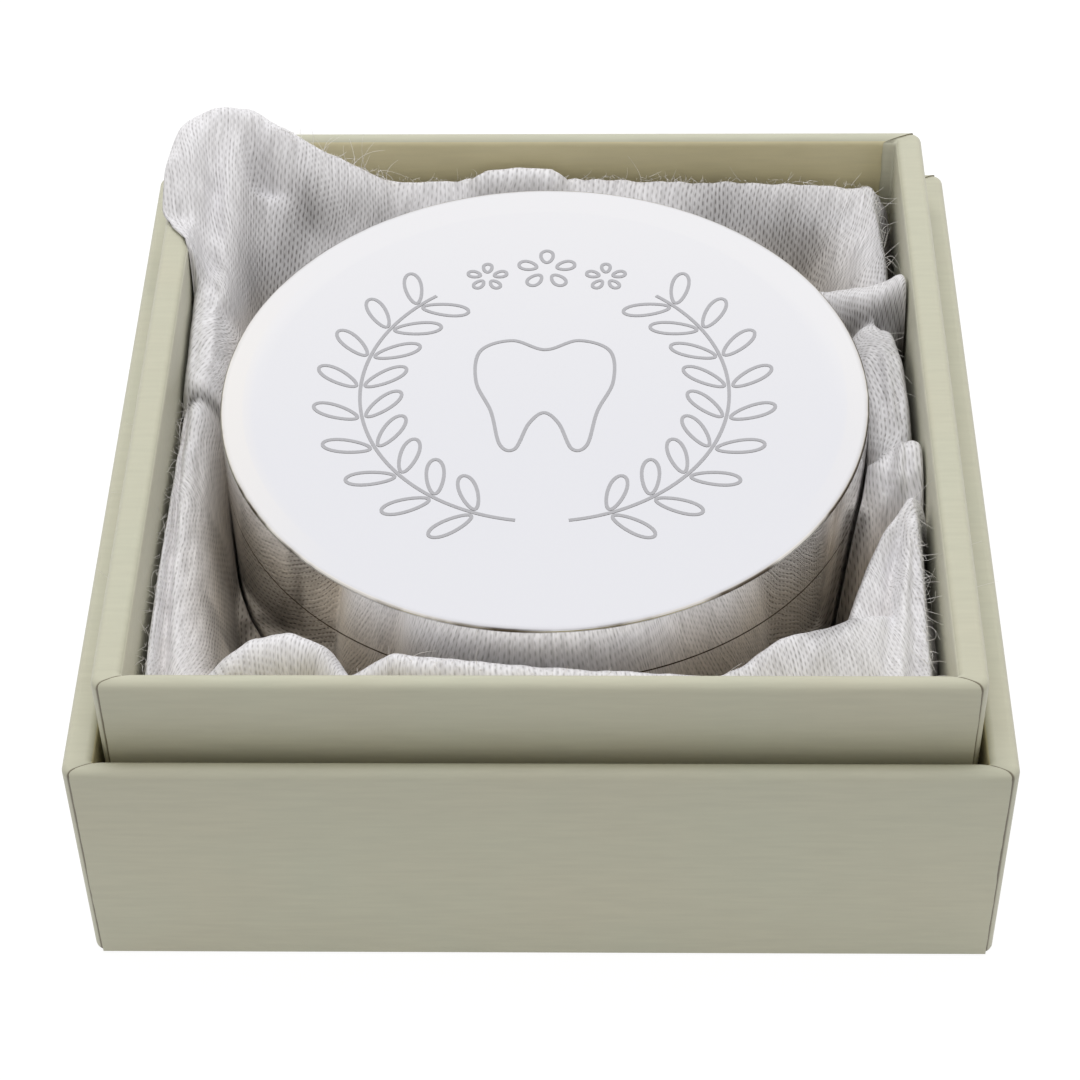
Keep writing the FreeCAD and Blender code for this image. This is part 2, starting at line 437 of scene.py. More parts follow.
def seam_shadow_and_tarnish(tree, place, axes):
    """How much painted shadow, with tarnish, lies in the seam under the lid: full at its height, and only on
    the outside of the box.
    """
    from_seam = add_node(tree, "ShaderNodeMath", {
        0: axes.outputs["Z"], 1: box_seam * MM}, operation="SUBTRACT")
    from_seam = add_node(tree, "ShaderNodeMath", {0: from_seam.outputs[0]}, operation="ABSOLUTE")
    # painted shadow of the seam's gap, with tarnish
    seam_shade = add_node(tree, "ShaderNodeMapRange", {
        "Value": from_seam.outputs[0], "From Min": seam_line * MM,
        "From Max": seam_core_share * seam_line * MM})
    across = add_node(tree, "ShaderNodeVectorMath", {0: place, 1: (1, 1, 0)}, operation="MULTIPLY")
    across = add_node(tree, "ShaderNodeVectorMath", {0: across.outputs["Vector"]}, operation="LENGTH")
    outer = add_node(tree, "ShaderNodeMath", {
        0: across.outputs["Value"], 1: (box_radius - seam_line) * MM}, operation="GREATER_THAN")
    return add_node(tree, "ShaderNodeMath", {
        0: seam_shade.outputs["Result"], 1: outer.outputs[0]}, operation="MULTIPLY").outputs[0]


def silver_plate():
    """Silver plate on brass, buffed: a clear mirror with faint wiping haze, a painted dark reflection along
    the lid's edge and a painted shadow, with tarnish, in the seam.
    """
    material, tree, shader = new_material("silver_plate_buffed", {"Metallic": 1.0})
    place = add_node(tree, "ShaderNodeTexCoord").outputs["Object"]
    axes = add_node(tree, "ShaderNodeSeparateXYZ", {"Vector": place})
    haze = add_node(tree, "ShaderNodeTexNoise", {
        "Vector": place, "Scale": per_mm(wiping_haze), "Detail": 4.0})
    wipe = add_node(tree, "ShaderNodeMapRange", {
        "Value": haze.outputs["Fac"], "From Min": 0.35, "From Max": 0.75, "To Min": 0.02, "To Max": 0.06})
    tree.links.new(wipe.outputs["Result"], shader.inputs["Roughness"])
    line = add_node(tree, "ShaderNodeMath", {
        0: edge_dark_reflection(tree, axes, haze), 1: seam_shadow_and_tarnish(tree, place, axes)}, operation="MAXIMUM")
    # painted dark reflection at the lid's edge and painted shadow, with tarnish, in the seam, in a dark
    # brown
    tone = add_node(tree, "ShaderNodeMix", {
        0: line.outputs[0], 6: linear("#F6F5F3"), 7: linear("#4A3F30")}, data_type="RGBA")
    tree.links.new(tone.outputs[2], shader.inputs["Base Color"])
    return material


def engraved_silver():
    """Silver cut by an engraver's point: matt, grey and finely pitted."""
    material, tree, shader = new_material("silver_plate_engraved", {"Roughness": 0.6})
    place = add_node(tree, "ShaderNodeTexCoord").outputs["Object"]
    pits = add_node(tree, "ShaderNodeTexNoise", {
        "Vector": place, "Scale": per_mm(engraved_pit), "Detail": 2.0})
    tone = add_node(tree, "ShaderNodeMix", {
        0: pits.outputs["Fac"], 6: linear("#A0A0A5"), 7: linear("#B2B2B7")}, data_type="RGBA")
    tree.links.new(tone.outputs[2], shader.inputs["Base Color"])
    return material


def black_velvet():
    """Rayon velvet: near-black short pile that lightens at a glancing angle."""
    material, tree, shader = new_material(
        "rayon_velvet_cut_pile", {"Roughness": 0.95, "Sheen Weight": 0.6, "Sheen Roughness": 0.4})
    shader.inputs["Sheen Tint"].default_value = linear("#9A9AA6")
    place = add_node(tree, "ShaderNodeTexCoord").outputs["Object"]
    pile = add_node(tree, "ShaderNodeTexNoise", {
        "Vector": place, "Scale": per_mm(velvet_pile), "Detail": 3.0})
    nap = add_node(tree, "ShaderNodeTexNoise", {
        "Vector": place, "Scale": per_mm(velvet_nap), "Detail": 2.0})
    tone = add_node(tree, "ShaderNodeMix", {
        0: nap.outputs["Fac"], 6: linear("#131316"), 7: linear("#26262C")}, data_type="RGBA")
    tree.links.new(tone.outputs[2], shader.inputs["Base Color"])
    bump = add_node(tree, "ShaderNodeBump", {
        "Height": pile.outputs["Fac"], "Strength": 0.8, "Distance": velvet_relief * MM})
    tree.links.new(bump.outputs["Normal"], shader.inputs["Normal"])
    return material


def float_slits(tree, moved):
    """The slits between the floats of the weave, from 0 to 1: long dips beside each other in columns.

    The columns are a float's pitch apart and the dips a float's length, and each column is shifted from the
    one before by a share of that length."""
    split = add_node(tree, "ShaderNodeSeparateXYZ", {"Vector": moved})
    column = add_node(tree, "ShaderNodeMath", {
        0: split.outputs["X"], 1: per_mm(float_pitch)}, operation="MULTIPLY")
    number = add_node(tree, "ShaderNodeMath", {0: column.outputs[0]}, operation="ROUND")
    beside = add_node(tree, "ShaderNodeMath", {
        0: column.outputs[0], 1: number.outputs[0]}, operation="SUBTRACT")
    beside = add_node(tree, "ShaderNodeMath", {0: beside.outputs[0]}, operation="ABSOLUTE")
    between = add_node(tree, "ShaderNodeMapRange", {
        "Value": beside.outputs[0], "From Min": 0.3, "From Max": 0.02}, interpolation_type="SMOOTHSTEP")
    step = add_node(tree, "ShaderNodeMath", {
        0: number.outputs[0], 1: float_step_share}, operation="MULTIPLY")
    run = add_node(tree, "ShaderNodeMath", {
        0: split.outputs["Y"], 1: per_mm(float_length), 2: step.outputs[0]}, operation="MULTIPLY_ADD")
    along = add_node(tree, "ShaderNodeMath", {0: run.outputs[0], 1: 0.5}, operation="PINGPONG")
    parted = add_node(tree, "ShaderNodeMapRange", {
        "Value": along.outputs[0], "From Min": 0.04, "From Max": 0.46}, interpolation_type="SMOOTHSTEP")
    return add_node(tree, "ShaderNodeMath", {
        0: between.outputs["Result"], 1: parted.outputs["Result"]}, operation="MULTIPLY").outputs[0]


def weave_height(tree, weave, unshaded):
    """Height of the weave, from 0 to 1: uneven filaments along the floats, less the slits between them.

    The floats drift from straight lines, and the slits open wider where painted shade falls on the cloth."""
    drift = add_node(tree, "ShaderNodeTexNoise", {
        "Vector": weave, "Scale": per_mm(weave_drift), "Detail": 2.0})
    sway = weave_sway_share * float_pitch * MM
    shift = add_node(tree, "ShaderNodeVectorMath", {
        0: drift.outputs["Color"], 1: (sway, sway, 0)}, operation="MULTIPLY")
    moved = add_node(tree, "ShaderNodeVectorMath", {
        0: weave, 1: shift.outputs["Vector"]}, operation="ADD").outputs["Vector"]
    shade_opening = add_node(tree, "ShaderNodeMapRange", {
        "Value": unshaded, "From Min": 0.5, "From Max": 1.0, "To Min": 0.95, "To Max": 0.42})
    slit = add_node(tree, "ShaderNodeMath", {
        0: float_slits(tree, moved), 1: shade_opening.outputs["Result"]}, operation="MULTIPLY")
    filament = add_node(tree, "ShaderNodeMapping", {
        "Vector": moved, "Scale": (1, filament_squeeze_share, 1)})
    filament = add_node(tree, "ShaderNodeTexNoise", {
        "Vector": filament.outputs["Vector"], "Scale": per_mm(filament_width), "Detail": 3.0})
    uneven = add_node(tree, "ShaderNodeMapRange", {
        "Value": filament.outputs["Fac"], "From Min": 0.3, "From Max": 0.7, "To Min": 0.56, "To Max": 1.12})
    return add_node(tree, "ShaderNodeMath", {
        0: uneven.outputs["Result"], 1: slit.outputs[0]}, operation="SUBTRACT", use_clamp=True).outputs[0]


def woven_satin():
    """Acetate satin, warp-faced weave: lustrous floats, each with a dip where it goes under.

    Painted shade, baked into an attribute of the sheet, darkens the cloth towards a deep brown, opens the
    slits
    of the weave and takes the lustre: along the listed runs, and deep beside the box. Low down a painted
    warm shade tints it cream.
    The floats are drawn half as wide again as real ones, so that they show in the render."""
    material, tree, shader = new_material(
        "acetate_satin_woven", {"Roughness": 0.42, "Sheen Weight": 0.1})
    weave = add_node(tree, "ShaderNodeUVMap", uv_map="cloth").outputs["UV"]
    unshaded = add_node(tree, "ShaderNodeAttribute", attribute_name="unshaded").outputs["Fac"]
    height = weave_height(tree, weave, unshaded)
    cloth_tone = add_node(tree, "ShaderNodeMix", {
        0: height, 6: linear("#949293"), 7: linear("#E8E7EB")}, data_type="RGBA")
    place = add_node(tree, "ShaderNodeTexCoord").outputs["Object"]
    axes = add_node(tree, "ShaderNodeSeparateXYZ", {"Vector": place})
    # painted warm shade: the satin is tinted cream lower down, between two heights
    depth = add_node(tree, "ShaderNodeMapRange", {
        "Value": axes.outputs["Z"], "From Min": warm_shade_top * MM, "From Max": warm_shade_foot * MM})
    warm_shade_tint = add_node(tree, "ShaderNodeMix", {
        0: depth.outputs["Result"], 6: (1, 1, 1, 1), 7: linear("#F8EEDC")}, data_type="RGBA")
    warm_tinted = add_node(tree, "ShaderNodeVectorMath", {
        0: cloth_tone.outputs[2], 1: warm_shade_tint.outputs[2]}, operation="MULTIPLY")
    # painted shade: the cloth goes towards a deep brown where the baked shade attribute is low
    tone = add_node(tree, "ShaderNodeMix", {
        0: unshaded, 6: linear("#2A2318"), 7: warm_tinted.outputs["Vector"]}, data_type="RGBA")
    tree.links.new(tone.outputs[2], shader.inputs["Base Color"])
    # painted shade also takes the specular level down where it falls
    shaded_lustre = add_node(tree, "ShaderNodeMapRange", {"Value": unshaded, "To Min": 0.05, "To Max": 0.5})
    tree.links.new(shaded_lustre.outputs["Result"], shader.inputs["Specular IOR Level"])
    bump = add_node(tree, "ShaderNodeBump", {
        "Height": height, "Strength": 0.8, "Distance": float_relief * MM})
    tree.links.new(bump.outputs["Normal"], shader.inputs["Normal"])
    return material


def loose_yarn():
    """Acetate filaments drawn out of the weave: pale, thin and a little lustrous."""
    material, tree, shader = new_material(
        "acetate_filament_frayed", {"Roughness": 0.45, "Sheen Weight": 0.2})
    place = add_node(tree, "ShaderNodeTexCoord").outputs["Object"]
    patch = add_node(tree, "ShaderNodeTexNoise", {
        "Vector": place, "Scale": per_mm(yarn_patch), "Detail": 2.0})
    tone = add_node(tree, "ShaderNodeMix", {
        0: patch.outputs["Fac"], 6: linear("#D8D4D0"), 7: linear("#F4F2F1")}, data_type="RGBA")
    tree.links.new(tone.outputs[2], shader.inputs["Base Color"])
    return material


def pulp_board(name, dark, light, grain):
    """Pressed fibre, as board, card, tape or wadding: matt, speckled at a grain size in millimetres."""
    material, tree, shader = new_material(name, {"Roughness": 0.9})
    place = add_node(tree, "ShaderNodeTexCoord").outputs["Object"]
    speck = add_node(tree, "ShaderNodeTexNoise", {"Vector": place, "Scale": per_mm(grain), "Detail": 4.0})
    tone = add_node(tree, "ShaderNodeMix", {
        0: speck.outputs["Fac"], 6: linear(dark), 7: linear(light)}, data_type="RGBA")
    tree.links.new(tone.outputs[2], shader.inputs["Base Color"])
    bump = add_node(tree, "ShaderNodeBump", {
        "Height": speck.outputs["Fac"], "Strength": 0.5, "Distance": board_relief * MM})
    tree.links.new(bump.outputs["Normal"], shader.inputs["Normal"])
    return material


# Each paper's colour for the inside of its walls is painted light, for the warm light bounced between the
# walls
CASE_PAPER = cover_paper("wood_pulp_paper_calendered_case", case_half, "#D4CCA6", corner_lap_shadow_share)
TRAY_PAPER = cover_paper("wood_pulp_paper_calendered_tray", tray_half, "#DAD9C6", corner_lap_shadow_share)
CASE_END_PAPER = cover_paper("wood_pulp_paper_calendered_case_ends", case_half, "#D6CDA6")
TRAY_END_PAPER = cover_paper("wood_pulp_paper_calendered_tray_ends", tray_half, "#D6CDA6")
CUT_EDGE = paper_core()
SILVER = silver_plate()
ENGRAVED = engraved_silver()
VELVET = black_velvet()
SATIN = woven_satin()
YARN = loose_yarn()
GREYBOARD = pulp_board("greyboard_pressed", "#6F6659", "#8B8172", board_grain)
STAY_TAPE = pulp_board("kraft_tape_gummed", "#A58B66", "#BBA27D", tape_grain)
LINER = pulp_board("wood_pulp_liner_uncoated", "#C9C5B2", "#D6D2C0", card_grain)
LINING_CARD = pulp_board("white_card_uncoated", "#D8D5CC", "#E6E3DB", card_grain)
WADDING = pulp_board("polyester_wadding_needled", "#DEDEDE", "#F4F4F4", wadding_grain)

NODE_MATERIALS = {
    "case_board": GREYBOARD, "case_corner_stays": STAY_TAPE, "case_wrap": CASE_PAPER, "case_liner": LINER,
    "tray_board": GREYBOARD, "tray_corner_stays": STAY_TAPE, "tray_wrap": TRAY_PAPER,
    "lining_card": LINING_CARD, "wadding_pad": WADDING,
    "base_cup": SILVER, "base_collar": SILVER, "lid_shell": SILVER,
    "base_velvet_pad": VELVET, "base_velvet_band": VELVET, "lid_velvet": VELVET,
}


def dress_nodes():
    """Gives each CAD node that no new piece replaces its finished material."""
    for name, material in NODE_MATERIALS.items():
        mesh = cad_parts[name].data
        mesh.materials.clear()
        mesh.materials.append(material)


# Covering paper of the front and back walls

def wall_profile(half, rim, foot):
    """Outward places and heights up one end wall, round its rim and down its inside.

    The path is a straight wall, a quarter circle, a second quarter circle and the straight turn-in."""
    outer = half + panel_paper
    inner = half - end_wall - panel_paper
    top = rim + panel_paper
    radius = rim_round + panel_paper
    quarter = np.linspace(0, math.pi / 2, rim_steps)
    climb = np.linspace(foot, top - radius, wall_steps)
    drop = np.linspace(top - radius, top - panel_turn_in, turn_in_steps)
    places = np.concatenate([
        np.full(climb.size, outer), outer - radius + radius * np.cos(quarter)[1:],
        inner + radius - radius * np.sin(quarter), np.full(drop.size, inner)[1:]])
    heights = np.concatenate([
        climb, top - radius + radius * np.sin(quarter)[1:],
        top - radius + radius * np.cos(quarter), drop[1:]])
    return places, heights


def wall_paper(name, paper, half, rim, foot, facing, body, seed):
    """One end wall's covering paper: the wall profile carried across the width of the wall.

    Its side edges stand in from the corner, curve in as a mitre over the rim, and wander a little as cut by
    hand. facing is -1 for the front wall and 1 for the back one."""
    places, heights = wall_profile(half, rim, foot + panel_foot_gap)
    over = np.clip((half - places) / end_wall, 0, 1)
    reach = half - panel_side_gap - (panel_mitre - panel_side_gap) * over ** mitre_curve
    rng = np.random.default_rng(seed)
    drawn = rng.normal(0, 1, (2, heights.size + wander_span - 1))
    weights = np.ones(wander_span) / math.sqrt(wander_span)
    wander = [np.convolve(row, weights, "valid") for row in drawn]
    across = np.linspace(-1, 1, width_steps)[None, :]
    left = (reach + panel_wander * wander[0])[:, None]
    right = (reach + panel_wander * wander[1])[:, None]
    widths = np.where(across < 0, left, right) * across
    points = np.stack([
        widths, facing * places[:, None] + 0 * widths, heights[:, None] + 0 * widths], -1)
    faces = grid_faces(*widths.shape)
    faces = faces if facing < 0 else faces[:, ::-1]
    piece = make_piece(name, points, faces, [paper, CUT_EDGE], body)
    thicken(piece, panel_paper, 1)


def cover_walls():
    """Papers the front and back walls of the case and of the tray."""
    for facing, word in ((-1, "front"), (1, "back")):
        wall_paper(f"case_{word}_paper", CASE_END_PAPER, case_half, case_rim, 0,
                   facing, "case", case_paper_seed + facing)
        wall_paper(f"tray_{word}_paper", TRAY_END_PAPER, tray_half, tray_rim, tray_foot,
                   facing, "tray", tray_paper_seed + facing)


# Satin lining

well_radius = box_radius + well_gap
side_inside = tray_half - side_wall - wall_gap
end_inside = tray_half - end_wall - wall_gap
rim_reach = tray_half + rim_overhang
bed_level = bed_top + cloth + bed_clearance
rim_rest = tray_rim + panel_paper + cloth + rim_clearance

# Crest lines of the folds: across, along, height, and the widths to the left and right of the line at which
# the fold has dropped by fold_drop. Beside a wall they run counter-clockwise, so left is the inner side.
# The number before each line is the power with which it drops.
FOLDS = {
    "left_strip": (2.0, [
        (-36.5, 23.6, 31.8, 2.6, 1.8), (-36.6, 17.0, 31.0, 2.6, 1.8), (-36.4, 11.0, 30.4, 2.6, 1.8),
        (-36.0, 6.6, 30.4, 2.2, 1.8)]),
    "left_band": (2.2, [
        (-36.0, 5.4, 28.8, 1.8, 1.5), (-36.0, 1.6, 28.9, 1.8, 1.2), (-36.0, -12.0, 28.5, 1.8, 0.7),
        (-35.6, -22.0, 28.3, 2.3, 0.9), (-34.2, -36.0, 28.3, 3.2, 1.4)]),
    "left_raw_edge": (2.0, [
        (-37.0, 5.0, 28.4, 0.7, 0.4), (-37.2, -2.0, 28.4, 0.7, 0.3), (-37.2, -14.0, 29.0, 0.7, 0.3),
        (-37.2, -22.0, 29.8, 0.8, 0.3), (-37.0, -37.0, 30.2, 1.1, 0.3)]),
    "front_left_hump": (1.9, [
        (-31.8, -36.4, 29.6, 2.0, 2.0), (-29.0, -34.6, 31.9, 2.2, 2.2), (-26.2, -33.3, 33.2, 2.2, 2.4),
        (-23.4, -33.0, 33.7, 2.2, 2.4), (-20.8, -33.8, 33.0, 2.0, 2.2), (-18.0, -35.8, 30.6, 1.6, 2.0)]),
    "front_strip": (2.0, [
        (-16.9, -36.0, 31.4, 2.0, 1.8), (-13.6, -35.2, 33.3, 2.1, 2.0), (-10.3, -35.4, 33.0, 2.2, 2.0),
        (-5.6, -35.7, 32.5, 2.3, 2.0), (1.8, -35.8, 31.8, 2.3, 2.0), (10.2, -35.8, 31.2, 2.2, 2.0),
        (17.4, -35.6, 30.6, 2.0, 2.4)]),
    "front_right_lap": (1.7, [
        (16.6, -35.4, 30.4, 1.7, 3.4), (19.2, -34.2, 31.0, 1.6, 4.2), (22.8, -31.2, 31.7, 1.5, 5.0),
        (26.8, -29.2, 30.8, 1.3, 6.0), (29.5, -27.6, 30.7, 1.2, 6.0)]),
    "point_inner": (1.7, [
        (28.6, -31.0, 28.6, 0.7, 4.0), (29.8, -25.0, 29.0, 0.6, 3.0), (31.8, -19.0, 29.6, 0.6, 2.6),
        (33.4, -16.0, 30.8, 0.6, 2.0), (35.8, -13.3, 32.8, 0.7, 1.4)]),
    "point_middle": (1.8, [
        (33.2, -36.4, 29.8, 1.6, 1.6), (34.3, -25.5, 30.1, 1.2, 1.2), (35.2, -19.0, 31.1, 1.0, 1.0),
        (35.9, -13.4, 32.5, 0.9, 0.9)]),
    "point_outer": (2.0, [
        (36.3, -36.4, 29.8, 1.3, 0.5), (36.3, -26.0, 30.4, 1.1, 0.5), (36.3, -19.0, 31.4, 0.9, 0.6),
        (36.0, -13.2, 32.6, 0.8, 0.8)]),
    "right_bulge": (2.0, [
        (37.8, -5.6, 32.4, 3.4, 2.6), (36.0, -6.0, 32.0, 3.6, 2.8), (33.8, -7.0, 30.4, 3.4, 2.6),
        (31.8, -8.6, 27.4, 2.6, 2.2)]),
    "right_panel": (4.0, [
        (36.0, -1.0, 29.8, 3.6, 1.3), (36.0, 4.0, 30.4, 3.6, 1.3), (35.7, 9.7, 30.7, 3.6, 1.4),
        (35.0, 13.8, 30.0, 3.2, 1.6)]),
    "right_strap": (2.2, [
        (29.6, 20.2, 29.8, 2.2, 1.6), (33.4, 19.0, 31.2, 2.4, 1.8), (36.2, 18.4, 33.0, 2.4, 1.8),
        (38.4, 18.2, 35.0, 2.2, 1.6)]),
    "back_right_edge": (1.25, [
        (36.4, 24.6, 29.6, 3.2, 0.3), (36.0, 30.0, 30.4, 3.3, 0.3), (35.4, 36.4, 31.3, 3.2, 0.3)]),
    "back_strip": (1.3, [
        (35.0, 36.5, 31.3, 3.2, 0.4), (27.6, 37.0, 31.5, 3.2, 0.4), (16.6, 37.2, 31.5, 3.2, 0.4),
        (5.6, 37.4, 31.7, 3.2, 0.5), (-8.7, 37.2, 31.9, 3.0, 0.6), (-14.2, 36.8, 31.9, 2.4, 0.8),
        (-19.4, 36.2, 32.6, 2.2, 1.0)]),
    "back_hump": (2.4, [
        (0.4, 36.9, 33.4, 2.0, 1.0), (-3.2, 36.9, 33.6, 2.0, 1.0), (-7.0, 36.8, 33.3, 2.0, 1.0)]),
    "back_roll": (1.5, [
        (-16.6, 35.8, 32.0, 2.2, 1.2), (-19.2, 35.2, 34.2, 2.8, 1.4), (-22.0, 34.9, 36.2, 3.0, 1.6),
        (-25.4, 35.0, 38.0, 2.8, 1.8), (-29.4, 36.2, 40.0, 2.0, 2.0)]),
    "puff_apron": (1.2, [
        (-19.0, 32.6, 31.0, 3.0, 2.2), (-22.6, 31.6, 32.0, 3.0, 2.2), (-26.0, 31.0, 33.2, 3.0, 2.2),
        (-29.4, 31.0, 34.6, 2.6, 2.2), (-32.0, 30.6, 35.2, 2.4, 1.6)]),
    "corner_puff": (1.6, [
        (-29.8, 37.2, 38.8, 1.6, 3.0), (-32.4, 37.4, 41.0, 1.9, 3.0), (-35.6, 36.8, 41.5, 2.3, 3.0),
        (-38.0, 34.4, 41.2, 2.8, 3.0), (-39.0, 30.4, 40.0, 2.7, 3.0), (-38.6, 27.0, 37.6, 2.4, 3.0),
        (-36.8, 22.8, 33.2, 2.0, 2.4)]),
    "puff_spine": (1.9, [
        (-33.8, 36.8, 41.0, 1.8, 2.8), (-34.0, 30.5, 38.0, 1.7, 2.8), (-34.0, 24.5, 34.4, 1.5, 2.4),
        (-34.4, 19.0, 30.8, 1.3, 2.0)]),
}

# Small pleats and hollows on the folds: start and end of each, its rise (a hollow's is negative) and width
PLEATS = [
    (-30.4, 35.0, -29.0, 24.0, -0.5, 1.1), (-38.4, 33.0, -35.2, 22.0, 0.4, 0.7),
    (-36.6, 35.0, -34.4, 22.0, -0.35, 0.6), (-35.2, 36.0, -33.8, 24.0, 0.25, 0.5),
    (-27.4, 33.6, -24.0, 28.4, 0.45, 0.8), (-24.6, 34.4, -21.0, 30.0, -0.35, 0.7),
    (-37.2, 24.8, -34.0, 23.0, 0.6, 0.45), (-37.2, 22.8, -34.4, 21.4, -0.5, 0.4),
    (-37.0, 21.2, -34.6, 20.2, 0.5, 0.4), (-36.9, 20.0, -36.4, 7.0, -0.35, 0.45),
    (-35.0, 19.0, -34.8, 8.0, 0.3, 0.45), (-36.7, 3.0, -36.5, -30.0, 0.3, 0.4),
    (-34.9, 1.0, -34.6, -28.0, -0.3, 0.45), (-35.6, -20.0, -33.4, -37.0, 0.35, 0.5),
    (-29.6, -37.6, -26.6, -31.6, 0.35, 0.6), (-26.2, -38.0, -24.0, -31.4, -0.3, 0.5),
    (-22.6, -38.0, -21.4, -32.0, 0.35, 0.55), (36.0, -13.6, 32.0, -32.0, -0.45, 0.5),
    (35.9, -14.0, 34.6, -36.0, 0.35, 0.45), (36.1, -14.0, 35.8, -36.0, -0.5, 0.45),
    (35.9, -1.6, 33.2, -10.6, -0.5, 0.45), (35.9, -1.6, 34.8, -11.4, 0.4, 0.4),
    (36.0, -1.8, 36.0, -11.0, -0.4, 0.4), (34.8, 11.6, 35.4, -1.0, 0.3, 0.4),
    (34.0, 11.0, 34.6, 0.0, -0.35, 0.5), (31.2, 21.8, 37.4, 20.2, 0.35, 0.35),
    (31.8, 19.8, 37.4, 18.2, -0.4, 0.4), (31.8, 17.4, 37.2, 16.2, 0.45, 0.5),
    (32.2, 16.2, 37.2, 14.8, -0.4, 0.4), (19.0, 37.0, 23.6, 26.6, 0.3, 1.0),
    (27.6, 37.0, 27.0, 25.6, -0.3, 0.8), (32.6, 36.4, 30.2, 23.8, 0.35, 0.7),
    (24.0, -36.5, 27.0, -29.4, 0.3, 0.6), (20.4, -37.0, 22.4, -32.0, -0.25, 0.5),
    (37.6, -7.6, 32.8, -9.8, 0.4, 0.4), (37.6, -8.8, 33.0, -11.2, -0.45, 0.4),
    (37.6, -4.6, 33.4, -5.6, -0.35, 0.4),
]

# Runs of painted shade on the cloth, in its hollows and gaps: start, end, reach and share of the shade
PAINTED_SHADE_RUNS = [
    ((18.0, 34.0), (27.0, 31.0), 4.0, 0.42), ((27.0, 30.5), (30.5, 24.5), 3.4, 0.36),
    ((-26.4, 29.6), (-29.6, 23.0), 2.8, 0.42), ((-31.4, 34.0), (-31.2, 22.0), 1.2, 0.2),
    ((-25.0, 29.6), (-18.0, 32.0), 2.0, 0.2), ((-37.7, 17.0), (-37.7, 7.0), 0.35, 0.4),
    ((37.3, 35.0), (37.3, 24.0), 1.3, 0.98), ((37.7, 15.0), (37.6, -2.0), 0.5, 0.9),
    ((37.3, 15.4), (37.4, 7.0), 0.5, 0.85), ((31.4, 17.2), (36.8, 16.0), 0.8, 0.55),
    ((-36.3, 5.0), (-33.4, 4.8), 0.5, 0.5), ((-37.5, 3.2), (-36.4, 4.9), 0.4, 0.5),
    ((-37.8, 1.0), (-37.8, -37.0), 0.35, 0.85), ((-30.5, -14.0), (-31.1, -21.0), 0.8, 0.6),
    ((-33.0, -9.0), (-31.4, -18.0), 0.9, 0.3), ((-32.5, -20.0), (-30.8, -30.0), 0.9, 0.4),
    ((-30.2, -22.0), (-28.0, -27.0), 1.2, 0.3), ((34.2, 12.0), (34.6, -2.0), 3.0, 0.2),
    ((29.0, -16.4), (31.6, -10.4), 0.9, 0.7), ((28.4, -26.4), (33.0, -14.0), 0.9, 0.25),
    ((25.4, -30.2), (29.4, -27.8), 0.8, 0.35), ((21.0, -34.0), (28.0, -31.4), 2.5, 0.12),
    ((37.4, -15.0), (37.4, -37.0), 0.7, 0.85),
]


def near_line(x, y, start, end):
    """For each point of a plan, the share along a straight run of its nearest place, the gap to that place,
    and whether the point lies to the left of the run."""
    run_x, run_y = end[0] - start[0], end[1] - start[1]
    share = ((x - start[0]) * run_x + (y - start[1]) * run_y) / (run_x ** 2 + run_y ** 2)
    held = np.clip(share, 0, 1)
    gap_x = x - start[0] - held * run_x
    gap_y = y - start[1] - held * run_y
    return held, np.hypot(gap_x, gap_y), run_x * gap_y - run_y * gap_x > 0


def fold_height(x, y, steepness, crest):
    """Height of one fold over a plan: its crest's height, less a power of the gap from the crest line."""
    nearest = np.full(x.shape, np.inf)
    height = np.zeros(x.shape)
    for start, end in zip(crest[:-1], crest[1:]):
        share, gap, on_left = near_line(x, y, start, end)
        level, left, right = (a + share * (b - a) for a, b in zip(start[2:], end[2:]))
        drop = fold_drop * (gap / np.where(on_left, left, right)) ** steepness
        height = np.where(gap < nearest, level - drop, height)
        nearest = np.minimum(gap, nearest)
    return height


def satin_height(x, y):
    """Height of the satin over a plan: the highest fold, eased where folds meet, with the pleats added."""
    levels = np.stack([np.full(x.shape, gap_floor)] + [fold_height(x, y, *fold) for fold in FOLDS.values()])
    top = levels.max(0)
    height = top + fold_blend * np.log(np.exp((levels - top) / fold_blend).sum(0))
    for start_x, start_y, end_x, end_y, rise, width in PLEATS:
        share, gap, _ = near_line(x, y, (start_x, start_y), (end_x, end_y))
        height = height + rise * np.sin(math.pi * share) ** 0.5 * np.exp(-(gap / width) ** 2)
    return height


def crumple(x, y):
    """A soft uneven field of about unit height over a plan: many sine waves in random directions."""
    rng = np.random.default_rng(crumple_seed)
    turns = rng.uniform(0, math.pi, crumple_waves)
    rates = 2 * math.pi / (crumple_length * rng.uniform(*wave_length_shares, crumple_waves))
    starts = rng.uniform(0, 2 * math.pi, crumple_waves)
    phase = x[..., None] * rates * np.cos(turns) + y[..., None] * rates * np.sin(turns) + starts
    return np.sin(phase).sum(-1) / math.sqrt(crumple_waves / 2)


def square_reach(across, along, half_across, half_along, sharpness):
    """How far a rounded square reaches in a direction: a circle in a norm of a high power, its sharpness."""
    powers = (np.abs(across) / half_across) ** sharpness + (np.abs(along) / half_along) ** sharpness
    return powers ** (-1 / sharpness)


def tuck_path(edge, inside, last):
    """Reaches and heights of the tuck behind the folds: a curl in from the edge, then straight down.

    edge and inside are the reaches at its start and its end, and last is the height at its start."""
    share = np.linspace(0, 1, tuck_steps + 1)[None, 1:]
    curl = np.clip(2 * share, 0, 1)
    fall = np.clip(2 * share - 1, 0, 1)
    rest = np.minimum(last, rim_rest)
    foot = np.minimum(rest - tuck_fall, tuck_foot)
    reach = edge + (inside - edge) * curl ** 2
    height = last + (rest - last) * np.sin(curl * math.pi / 2) - (rest - foot) * fall
    return reach, height


